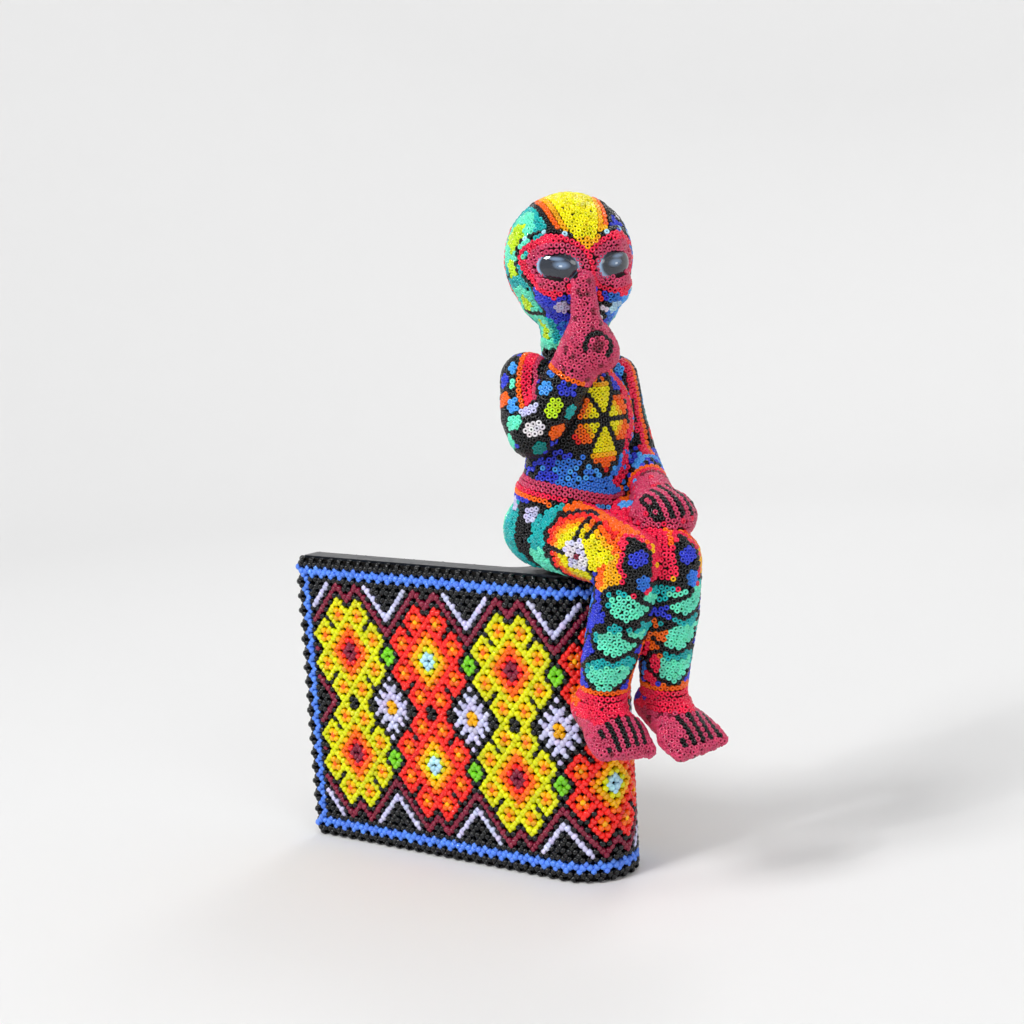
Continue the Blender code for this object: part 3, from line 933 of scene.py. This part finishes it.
def paint_torso(point):
    across = math.degrees(math.atan2(point.y - 3, point.x - 1))
    up = point.z
    if up > 70:
        return "mint" if across < -20 else "black"
    if up > 30:
        if across > 62 or across < -125:
            wave = math.sin(math.radians(across) * 6 + up * 0.45)
            return "sky" if wave > 0.8 else "black" if wave < -0.3 else "mid"
        if across > 30 and up > 56:
            return "sky" if up > 63 else "royal"
        if across < -80:
            return speckle(point, "black", "royal", 0.3)
        if up < 37:
            return speckle(point, "mid" if across > -60 else "royal", "sky", 0.15)
        if across < -46:
            return speckle(point, "black", "royal", 0.3)
        return "black"
    if up > 24:
        return "mid" if abs(across) < 70 else "royal"
    if across < -96 or across > 96:
        lower = abs(across) - 108
        if lower > 26:
            wave = 17 + 4.5 * math.cos(math.radians(across) * 10)
            if up > wave:
                return "red" if up > wave + 2 else "orange"
            return "royal" if up > wave - 6 else "mid"
        return "turquoise" if lower < 9 else "mint" if lower < 20 else "orange"
    return "sky" if up > 20 and across > -40 else "black"


# ---------------------------------------------------------------- arms and hands

ARM_FLOWERS = [
    ((-0.2, -18.1, 66.1), "sky"),
    ((-3.9, -20.9, 61.6), "royal"),
    ((1.6, -20, 60.7), "mint"),
    ((11.9, -16.1, 59.4), "sky"),
    ((12.1, -12.6, 64.6), "mid"),
    ((16.4, -11, 59.7), "royal"),
    ((14.7, -15.1, 53.3), "lime"),
    ((-2.5, -22.5, 55.9), "orange"),
    ((3.4, -23.4, 55.0), "sky"),
    ((8.7, -20.6, 53.6), "lavender"),
    ((11.8, -20.9, 47.3), "white"),
    ((5.1, -24.1, 49.2), "mint"),
    ((14.7, -9, 51.5), "turquoise"),
    ((2.5, -24.6, 42.6), "mint"),
    ((11.4, -18.9, 41), "teal"),
    ((13.2, -13.2, 45.7), "orange"),
    ((-5.5, -19.5, 50), "lime"),
    ((-4, -16, 44.5), "lavender"),
    ((1.5, -10, 42), "sky"),
    ((4.2, 18.6, 62.7), "sky"),
    ((1.5, 19.5, 68), "mid"),
    ((0.5, 28.2, 52.5), "sky"),
    ((2.4, 28.6, 46.5), "teal"),
    ((3.4, 29.2, 40.5), "red"),
    ((-5, 28.4, 47), "lime"),
    ((-7.5, 24, 53), "lavender"),
    ((-6.5, 25, 40), "orange"),
    ((-3, 29.5, 40.5), "mint"),
    ((-5, 22.5, 33.5), "mid"),
    ((1.5, 31, 34), "white"),
]
# The places in ARM_FLOWERS of the flowers of ten beads
BIG_FLOWERS = (0, 5, 6, 7, 9, 10, 11, 13, 15, 20, 21, 24, 25)


def lay_band(points, names):
    """Rows side by side, the first through the figure points and each next further right."""
    line = smooth_line([skin.snap(to_world(point))[0] for point in points], False)[::4]
    for number, name in enumerate(names):
        shifted = []
        for k, spot in enumerate(line):
            ahead = line[min(k + 1, len(line) - 1)] - line[max(k - 1, 0)]
            sideways = ahead.cross(skin.snap(spot)[1]).normalized()
            shifted.append(skin.snap(spot + sideways * number * PITCH * 0.96)[0])
        lay_row(shifted, name)


def lay_arms():
    shoulder = ((6, -21.3, 54.5), (3.4, -20.9, 59.5), (0.5, -17.4, 65.5))
    lay_band((*shoulder, (-4, -11, 70), (-8, -5, 69)), ("orange", "crimson", "crimson", "rose"))
    band((12.6, -7.0, 62.8), (0.45, 0.25, 0.86), ("orange", "crimson", "crimson"))
    band((14.8, 18.6, 26.2), (0.9, -0.35, -0.35), ("orange", "crimson", "wine"))
    front = ((2, 22.6, 66.5), (4.7, 23.6, 59.7), (4.8, 24.2, 54), (4.9, 24.6, 48))
    lay_band((*front, (6.5, 25.4, 41), (11, 23.8, 35)), ("orange", "crimson", "crimson"))
    for number, (spot, colour) in enumerate(ARM_FLOWERS):
        flower(spot, colour, number in BIG_FLOWERS)


def paint_arm(point):
    return speckle(point, "black", "royal", 0.05)


def paint_left_forearm(point):
    wave = math.sin(point.x * 0.55 + point.z * 0.4)
    return "sky" if wave > 0.75 else speckle(point, "royal", "black", 0.25)


def lay_hands():
    """The oval on the back of the raised hand, and rows between the fingers of the other."""
    centre = Vector((22.1, -2.8, 71.5))
    angles = np.radians(np.arange(-50, 205, 22))
    row([centre + Vector((0, 4.6 * math.cos(a), 4.0 * math.sin(a))) for a in angles], "black")
    for left, up in ((-1.5, -1.2), (0.5, -1.3), (-0.5, 0.6), (1.5, 0.6), (0, 2.0)):
        pin(to_world(centre + Vector((0, left, up))), "wine")
    for number in range(-2, 9):
        left = 6.0 + number * 1.85
        line = [(28, left, 28), (34, left, 25), (38.5, left, 19), (40, left, 14)]
        row(line if number % 2 else line[:3], "rose" if number % 2 else "black")


def paint_hand(point):
    if point.z < 30:
        return "crimson" if point.z < 13 else speckle(point, "rose", "crimson", 0.15)
    return speckle(point, "rose", "wine", 0.08)
    return speckle(point, "rose", "wine", 0.08)


# ---------------------------------------------------------------- legs and feet


# Each thigh's outward side and its big flower's middle, and each knee's middle
THIGHS = ((-1, (26, -17.5, 11.6)), (1, (26, 21, 11.6)))
KNEES = ((44.5, -8.4, 6.5), (47.5, 8.6, 6.0))
# Each shin's axis from the knee down, and its front line's angles in degrees at FRONT_HEIGHTS
SHINS = (
    (((36.5, -4.8, 7.2), (35, -8.4, -8), (30.4, -11, -24), (27, -11.3, -36)), (-36, -26, -14)),
    (((38.4, 8.4, 5.8), (38.4, 7, -9), (35, 7, -25), (32.5, 7.8, -37)), (-14, -12, -2)),
)
FRONT_HEIGHTS = (-28, -16, -5)
SHIN_RADIUS = 8.5
HEART = 10.8
FIRST_TOP = 0.4
THIGH_RADIUS = 9.5


def leg_side(point):
    """0 for a figure point on the right leg and 1 for one on the left."""
    return 0 if point.y < 0.6 + 0.02 * (point.x - 20) else 1


def knee_reach(point):
    """1 at the edge of the dark oval on the nearer knee, more outside it."""
    forward, left, up = KNEES[leg_side(point)]
    if point.x < forward - 8:
        return 9.0
    across = abs(point.y - left) + 0.45 * max(0, forward - point.x)
    return math.hypot(across / 4.8, (point.z - up) / 9.0)


def shin_frame(index, height):
    """The middle of a shin at that height and the angle of its front line."""
    line, fronts = SHINS[index]
    heights = [spot[2] for spot in line][::-1]
    centre = [np.interp(height, heights, [spot[k] for spot in line][::-1]) for k in (0, 1)]
    return centre, np.interp(height, FRONT_HEIGHTS, fronts)


def on_shin(point):
    """(mm round the shin from its front line, height) of a point."""
    centre, front = shin_frame(leg_side(point), point.z)
    angle = math.atan2(point.y - centre[1], point.x - centre[0]) - math.radians(front)
    angle = (angle + math.pi) % math.tau - math.pi
    return angle * SHIN_RADIUS, point.z


def shin_at(index, across, height):
    """The point across mm round a shin from its front line at that height."""
    centre, front = shin_frame(index, height)
    angle = math.radians(front) + across / SHIN_RADIUS
    start = to_world((*centre, height))
    aim = to_world((centre[0] + math.cos(angle), centre[1] + math.sin(angle), height)) - start
    return skin.tree.ray_cast(start, aim.normalized(), 20 * MM)[0] or start


def lay_hearts(index):
    """The dark outlines of the shapes down the front of a shin, and of the smaller ones behind."""
    front = ((0, 1.04), (3.4, 0.9), (7.2, 0.66), (9.6, 0.4))
    front += ((9.8, 0.16), (7.2, -0.04), (2.8, 0), (0, 0.12))
    small = ((-4.5, -0.1), (0, 0.8), (4.5, -0.1))
    for number in range(3):
        top = FIRST_TOP - number * HEART
        for side in (-1, 1):
            lay_row([shin_at(index, side * x, top - drop * HEART) for x, drop in front], "black")
        for behind in (-17, 17):
            line = [shin_at(index, behind + x, top - (drop + 0.35) * HEART) for x, drop in small]
            lay_row(line, "black")


def lay_legs():
    for forward, left, up in KNEES:
        flower((forward + 1, left, up + 2.6), "royal", True)
        flower((forward + 1.5, left + 1.2, up - 5), "mid")
    flower((18, 8.5, 22), "sky", True)

    def centre_flower(ring, number):
        return "wine" if ring == 0 else "lavender" if number % 3 == 1 else "white"

    rays = (((-4.6, 0), (-11, 0)), ((-0.6, 4.6), (-0.6, 11)), ((2.6, 4.2), (3.4, 11)))
    rays += (((3.2, -3.4), (7.5, -7.5)),)
    for index in (0, 1):
        place = thigh_place(index)
        hex_patch(place, 2, centre_flower)
        lay_rows(place, rays, "black")
    for ankle in ((28.2, -11.2, -31.6), (33.4, 7.6, -32.6)):
        band(ankle, (-0.12, 0, -1), ("orange", "crimson", "crimson"))
    lay_hearts(0)
    lay_hearts(1)
    for middle, start, splay in ((-14.6, (38.5, -40.5), -0.12), (7.3, (44, -42), 0.05)):
        for number in range(-5, 6):
            across = middle + number * 1.72
            toe = ((0, 0), (4, 1.6), (8, 4.6))
            line = [(start[0] + out, across + out * splay, start[1] - drop) for out, drop in toe]
            if number % 2:
                line.append((line[2][0] + 3.5, line[2][1], line[2][2] - 3))
            row(line, "rose" if number % 2 else "black")


def thigh_place(index):
    """Takes mm along the thigh from its flower's middle, and mm round it, to a world point."""
    side, (forward, _, _) = THIGHS[index]

    def place(x, y):
        left, up = thigh_axis(side, forward + x)
        turn = y / THIGH_RADIUS
        start = to_world((forward + x, left, up))
        aim = to_world((forward + x, left + side * math.cos(turn), up + math.sin(turn))) - start
        return skin.tree.ray_cast(start, aim.normalized(), 30 * MM)[0] or start

    return place


def thigh_axis(side, forward):
    """How far left and up a thigh's axis is there."""
    return (-8.5 if side < 0 else 10.5) + 0.1 * side * (6 - forward), 12.3 - 0.17 * (forward - 6)


def paint_sun(across, up, point):
    """The big flower outside a thigh, in mm from its middle: across is towards the knee."""
    far = math.hypot(across, up)
    if far < 4.6:
        return speckle(point, "white", "lavender", 0.4)
    stretched = math.hypot(across * (0.5 if across > 0 else 1), up)
    for reach, name in ((7.4, "lemon"), (8.8, "golden"), (10.6, "orange"), (12.4, "red")):
        if stretched < reach:
            return name
    return "black" if across < 0 and stretched < 14.5 else None


def paint_thigh(point):
    side, centre = THIGHS[leg_side(point)]
    reach = knee_reach(point)
    for limit, name in ((1, "black"), (1.28, "crimson"), (1.6, "orange")):
        if reach < limit:
            return name
    axis_left, axis_up = thigh_axis(side, point.x)
    turn = math.atan2(point.z - axis_up, side * (point.y - axis_left))
    name = paint_sun(point.x - centre[0], turn * THIGH_RADIUS, point) if point.x > 8 else None
    if name:
        return name
    if math.cos(turn) < -0.2 or turn < -1.2:
        return "crimson" if turn > 0 else speckle(point, "royal", "mid", 0.4)
    if point.x < 13:
        return "turquoise" if point.z > 10 else "mint" if point.x > 2 else "orange"
    if turn > 1.0:
        return "orange" if turn < 1.7 else "crimson"
    return "black"


def paint_shin(point):
    reach = knee_reach(point)
    if reach < 1:
        return "black"
    if reach < 1.28 and point.z > -2:
        return "crimson"
    across, height = on_shin(point)
    inner = across * (1 if leg_side(point) == 0 else -1)
    if height > 0:
        if inner > 5:
            return "crimson" if inner < 9 else "wine"
        return "golden" if inner > -11 else "orange" if inner > -15 else "royal"
    hearts = (FIRST_TOP - height) / HEART
    drop = hearts - math.floor(hearts)
    if -2.9 < hearts < 3.0:
        half = np.interp(drop, (0, 0.16, 0.4, 0.66, 0.9, 1), (7.2, 9.8, 9.6, 7.2, 3.4, 0.6))
        if abs(across) < half:
            edge = half - abs(across)
            return "turquoise" if edge < 3.2 - 3 * drop or drop < 0.24 else "mint"
        if 13 < abs(across) < 21 and -0.1 < drop - 0.35 < 0.8 - 0.2 * abs(abs(across) - 17):
            return "sky" if drop > 0.6 else "mid"
    if inner > 9:
        return "orange" if inner < 12 else "crimson" if inner < 15 else "royal"
    if height < -32:
        return "orange"
    return "royal" if inner > -17 else speckle(point, "black", "royal", 0.4)


def paint_foot(point):
    return "crimson" if point.z > -40 else speckle(point, "rose", "wine", 0.08)


# What paints a region, by its whole name or else its last word. Each takes a figure point and gives
# the name of its bead's colour
PAINT = {
    "head": paint_head,
    "torso": paint_torso,
    "left_forearm": paint_left_forearm,
    "arm": paint_arm,
    "forearm": paint_arm,
    "hand": paint_hand,
    "thigh": paint_thigh,
    "shin": paint_shin,
    "foot": paint_foot,
}
# The slots of regions by their last word, where it isn't skin_cool
SLOTS = {
    "head": "skin_warm",
    "torso": "skin_warm",
    "thigh": "skin_warm",
    "hand": "skin_rose",
    "foot": "skin_rose",
}

# ---------------------------------------------------------------- laying the beads

# How beads fill what the rows leave: the rounds of pushing, the longest push in one, and before
# which rounds more are scattered, with their least distance in PITCH and how many places are tried
ROUNDS = 44
MOST_PUSH = 0.5 * MM
SCATTERS = {0: (0.7, 90000), 8: (0.74, 50000), 16: (0.78, 50000)}
NEIGHBOURS = [(i, j, k) for i in (-1, 0, 1) for j in (-1, 0, 1) for k in (-1, 0, 1)]


def in_eye(spot):
    """True on the painted eyes, where there are no beads."""
    if (spot - to_world(HEAD_CENTRE)).length > 25 * MM:
        return False
    across, up, _, _ = head_angles(to_figure(spot))
    for side in (-1, 1):
        x, y = from_eye(side, across, up)
        if (x / (EYE_HALF[0] + 0.2)) ** 2 + (y / (EYE_HALF[1] + 0.1)) ** 2 < 1:
            return True
    return False


def on_seat(spot, normal):
    """True where the figure touches the stand."""
    if spot.z > SEAT.z + 1.6 * MM or spot.z < SEAT.z - 3 * MM:
        return False
    over_board = -FRONT_LENGTH < spot.x < 0 and -END_RADIUS - 1 * MM < spot.y < -3 * MM
    over_end = math.hypot(spot.x, spot.y) < END_RADIUS + 0.5 * MM
    return (over_board or over_end) and normal.z < 0.1


def fill_free():
    """Scatters beads at random over what is left, then pushes all apart until they lie evenly."""
    grid = {}

    def cell(spot):
        return tuple(int(math.floor(v / PITCH)) for v in spot)

    def is_clear(spot, least):
        x, y, z = cell(spot)
        for i, j, k in NEIGHBOURS:
            for other in grid.get((x + i, y + j, z + k), ()):
                if (other - spot).length < least:
                    return False
        return True

    def keep(spot):
        grid.setdefault(cell(spot), []).append(spot)

    spots = [spot.copy() for spot, _, _ in pinned]
    homes = [spot.copy() for spot in spots]
    for turn in range(ROUNDS):
        if turn in SCATTERS:
            share, tries = SCATTERS[turn]
            grid.clear()
            for spot in spots:
                keep(spot)
            for spot in skin.random_points(tries):
                if is_clear(spot, share * PITCH) and not in_eye(spot):
                    spots.append(spot)
                    keep(spot)
        tree = KDTree(len(spots))
        for index, spot in enumerate(spots):
            tree.insert(spot, index)
        tree.balance()
        moved = []
        for index, spot in enumerate(spots):
            push = Vector()
            for other, number, distance in tree.find_range(spot, PITCH):
                if number != index and distance > 0:
                    push += (spot - other) * ((PITCH - distance) / distance)
            if index < len(homes):
                push = push * 0.15 + (homes[index] - spot) * 0.2
            else:
                push *= 0.45
            if push.length > MOST_PUSH:
                push *= MOST_PUSH / push.length
            moved.append(skin.snap(spot + push))
        spots = [at for at, _ in moved]
    return moved


def build_figure():
    for words, lay in (
        (("head",), lay_head),
        (("hand",), lay_hands),
        (("arm",), lay_arms),
        (("torso",), lay_torso),
        (("thigh", "shin", "foot"), lay_legs),
    ):
        within[:] = words
        lay()
    groups = {}
    for index, (spot, normal) in enumerate(fill_free()):
        if in_eye(spot) or on_seat(spot, normal):
            continue
        region = region_of(spot)
        if index < len(pinned):
            colour = pinned[index][2]
        else:
            short = region.removesuffix("_beads")
            paint = PAINT.get(short) or PAINT[short.split("_")[-1]]
            colour = paint(to_figure(spot))
        groups.setdefault(region, []).append((spot, normal, colour))
    shape = bead_shape(BEAD_RADIUS, BEAD_HOLE, BEAD_LENGTH, 12, 6)
    for region, beads in groups.items():
        short = region.removesuffix("_beads")
        slot = SLOTS.get(short.split("_")[-1], "skin_cool")
        beads.sort(key=lambda bead: bead[0].z)
        parts = math.ceil(len(beads) / MOST_BEADS)
        for part in range(parts):
            some = beads[part * len(beads) // parts : (part + 1) * len(beads) // parts]
            spots, normals, colours = zip(*some)
            axes = np.array(normals)
            centres = np.array(spots) - axes * (BEAD_LENGTH * 0.45)
            name = f"{short}_seed_beads" + (f"_{part + 1}" if parts > 1 else "")
            finish_piece(bead_piece(name, shape, centres, axes, colours), slot, region)


def build_eyes():
    """A painted ellipsoid for each eye: a pale rim, a grey-blue iris and a painted highlight, a
    near-white spot that stands for reflected light, on slate.
    """
    size = np.array((3.1, 7.2, 5.2)) * MM
    sides, levels = 72, 48
    turns = np.linspace(0, FULL_TURN, sides, endpoint=False)
    heights = np.linspace(0.02, math.pi - 0.02, levels)
    around, level = np.meshgrid(turns, heights, indexing="ij")
    ring = [np.sin(level) * np.cos(around), np.sin(level) * np.sin(around)]
    unit = np.stack([np.cos(level), *ring], -1).reshape(-1, 3)
    faces = quads(sides, levels, True, False)
    # The last shade is a painted highlight: a near-white spot that stands for a lamp's reflection
    # on the eye.
    shades = ((30, 37, 50), (150, 186, 222), (112, 136, 166), (215, 225, 235))
    slate, rim, iris, painted_highlight = (srgb(shade) for shade in shades)
    for name, side in (("right_eye", -1), ("left_eye", 1)):
        yaw = side * math.radians(EYE_YAW)
        at = head_to_world((18.6 * math.cos(yaw), 18.6 * math.sin(yaw), -2.5))
        turn = Euler((side * EYE_TILT, 0, FIGURE_YAW + HEAD_YAW + yaw)).to_matrix()
        points = (unit * size) @ np.array(turn).T + np.array(at)
        y, z = unit[:, 1] * side, unit[:, 2]
        colours = np.tile(slate, (len(unit), 1))
        for amount, paint in (
            (1 - np.hypot(y + 0.15, (z - 0.08) * 1.5) / 0.42, iris),
            ((np.hypot(y, z) - 0.8) / 0.16, rim),
            (1 - np.hypot((y - 0.1) * 1.2, (z - 0.42) * 3.5) / 0.5, iris),
            # A painted highlight: a near-white spot near the middle of the eye that stands for
            # reflected light.
            (1 - np.hypot(y + 0.12, (z - 0.02) * 1.4) / 0.1, painted_highlight),
        ):
            share = np.clip(amount * 1.6, 0, 1)[:, None]
            colours = colours * (1 - share) + paint * share
        obj = new_object(f"{name}_painted", points, faces, EYE, "eye_colour", colours)
        finish_piece(obj, "eye", name)


def sink_wax():
    """Moves the wax in, so that it shows only between the beads."""
    mesh = wax.data
    normals = [vert.normal.copy() for vert in mesh.vertices]
    for vert, normal in zip(mesh.vertices, normals):
        vert.co -= normal * 0.8 * MM
    mesh.shade_smooth()
    mesh.materials.clear()
    mesh.materials.append(WAX)
    finish_piece(wax, "skin_warm")


build_net()
build_backing()
build_figure()
build_eyes()
sink_wax()

FINISH = {"stand_core": WOOD, "stand_top_cover": LACQUER, "stand_foot_felt": FELT}
for name, obj in cad.items():
    material = FINISH.get(name) or (PEG if "peg" in name else WOOD)
    if not obj.material_slots:
        obj.data.materials.append(material)
    for place in obj.material_slots:
        place.material = material

# ---------------------------------------------------------------- the studio


def build_backdrop():
    """A pale floor that curves up into a wall all round."""
    profile = [(r, 0.0) for r in (0.0, 0.3, 0.6, 0.9)]
    curve = np.linspace(0.15, math.pi / 2, 10)
    profile += [(0.9 + 0.5 * math.sin(a), 0.5 - 0.5 * math.cos(a)) for a in curve]
    profile.append((1.4, 1.15))
    turns = [k * math.tau / 64 for k in range(64)]
    points = [(r * math.cos(a), r * math.sin(a), z) for r, z in profile for a in turns]
    made, _, _ = new_material("backdrop", srgb((228, 228, 228)), 0.9)
    faces = quads(len(profile), len(turns), False, True)
    floor = new_object("backdrop", np.array(points), faces, made)


def add_light(name, position, size, watts):
    """A round lamp aimed at the object's middle."""
    lamp = bpy.data.lights.new(name, "AREA")
    lamp.shape = "DISK"
    lamp.size = size
    lamp.energy = watts
    obj = bpy.data.objects.new(name, lamp)
    obj.location = position
    aim = Vector((0, 0, 0.12)) - Vector(position)
    obj.rotation_euler = aim.to_track_quat("-Z", "Y").to_euler()
    bpy.context.scene.collection.objects.link(obj)


def build_camera():
    """The photograph's camera."""
    azimuth, elevation, roll = math.radians(36.4), math.radians(7.8), math.radians(-3.45)
    target, distance = Vector((-23.6, 0, 117.4)) * MM, 0.541
    flat = math.cos(elevation)
    back = Vector((math.sin(azimuth) * flat, -math.cos(azimuth) * flat, math.sin(elevation)))
    right = Vector((math.cos(azimuth), math.sin(azimuth), 0))
    up = back.cross(right)
    side = right * math.cos(roll) + up * math.sin(roll)
    top = up * math.cos(roll) - right * math.sin(roll)
    camera = bpy.data.cameras.new("camera")
    camera.lens, camera.sensor_width = 58.0, 36
    camera.clip_start = 0.01
    obj = bpy.data.objects.new("camera", camera)
    turn = Matrix((side, top, back)).transposed()
    obj.matrix_world = Matrix.Translation(target + back * distance) @ turn.to_4x4()
    bpy.context.scene.collection.objects.link(obj)
    bpy.context.scene.camera = obj


build_backdrop()
build_camera()
add_light("key", (-0.6, -1.55, 1.5), 0.8, 38)
add_light("glint", (-0.35, -1.2, 1.0), 0.07, 2.4)
add_light("top", (0.3, -0.4, 1.4), 0.5, 2)
add_light("fill", (1.0, -0.5, 0.6), 0.5, 1.8)
add_light("back", (-0.3, 0.9, 0.9), 0.5, 2.4)
world = bpy.context.scene.world or bpy.data.worlds.new("world")
bpy.context.scene.world = world
world.use_nodes = True
sky = world.node_tree.nodes["Background"].inputs
sky["Color"].default_value = (1, 1, 1, 1)
sky["Strength"].default_value = 0.42
bpy.context.scene.view_settings.view_transform = "Standard"
